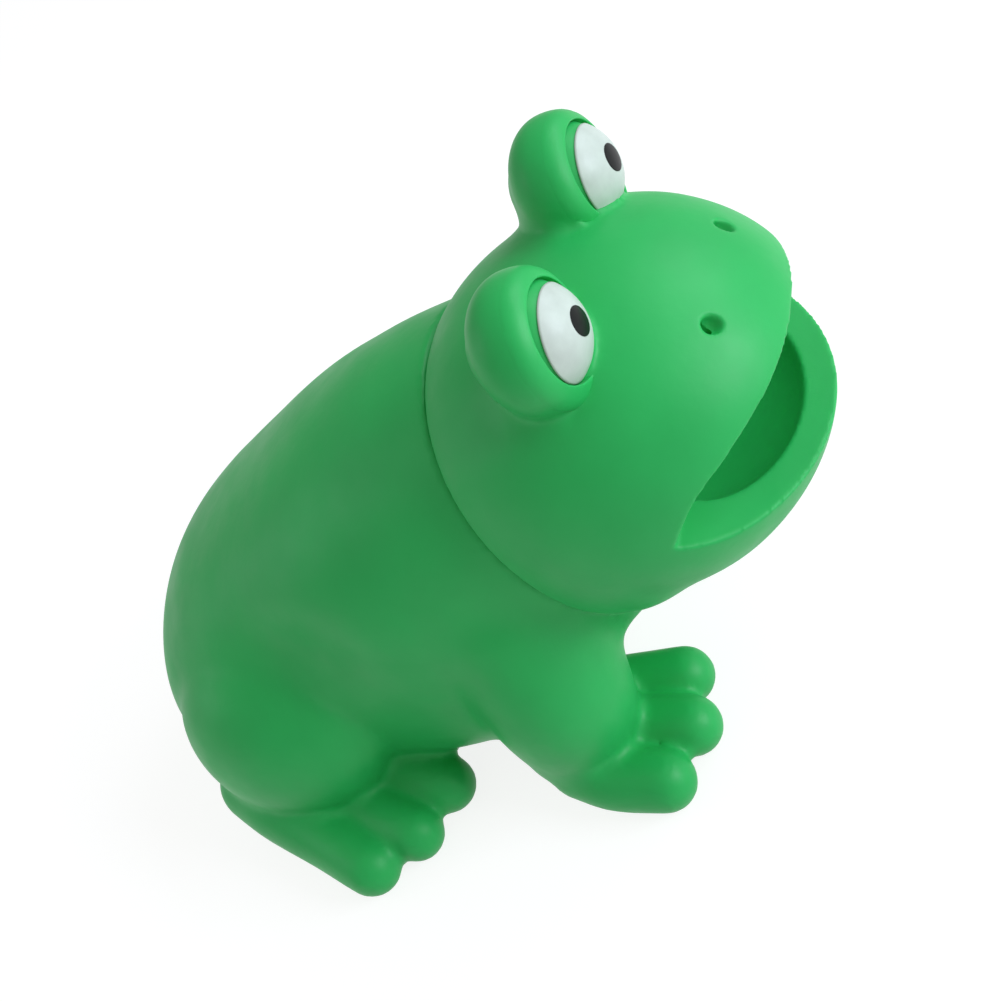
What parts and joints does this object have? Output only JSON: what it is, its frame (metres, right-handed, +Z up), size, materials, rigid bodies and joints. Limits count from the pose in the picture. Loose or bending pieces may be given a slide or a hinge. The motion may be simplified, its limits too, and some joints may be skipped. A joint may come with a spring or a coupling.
{
  "type": "squeaky dog toy",
  "caption": "Soft vinyl squeaky dog toy shaped as a sitting frog with a wide open mouth; the head swivels on a snap-in neck and a reed squeaker is pressed into the belly.",
  "frame": {"origin": "on the ground under the middle of the bounding box, between the soles of the feet", "axes": "+Z up, the frog faces -Y, and its left side is towards +X"},
  "size_m": [0.1012, 0.1302, 0.0912],
  "materials": {
    "body_vinyl": "satin soft vinyl",
    "head_vinyl": "satin soft vinyl",
    "eye_white": "satin white",
    "pupil_black": "gloss black",
    "squeaker_plastic": "moulded, off-white",
    "reed_film": "thin film"
  },
  "bodies": {
    "body": {"body_shell": "body_vinyl", "squeaker_housing": "squeaker_plastic", "squeaker_reed_tube": "squeaker_plastic", "squeaker_sleeve": "squeaker_plastic", "squeaker_cap": "squeaker_plastic"},
    "head": {"head_shell": "head_vinyl", "left_eye_white": "eye_white", "right_eye_white": "eye_white", "left_pupil": "pupil_black", "right_pupil": "pupil_black"},
    "reed": {"squeaker_reed": "reed_film"}
  },
  "joints": [
    {"name": "neck_swivel", "type": "hinge", "parent": "body", "child": "head", "pos_m": [0, -0.02285, 0.047], "axis": [0, -0.9272, 0.3746], "continuous": true},
    {"name": "reed_flex", "type": "hinge", "parent": "body", "child": "reed", "pos_m": [0, 0.02054, 0.00577], "axis": [1, 0, 0], "range_deg": [-4, 2], "stiffness_Nm_per_rad": 0.0004}
  ]
}
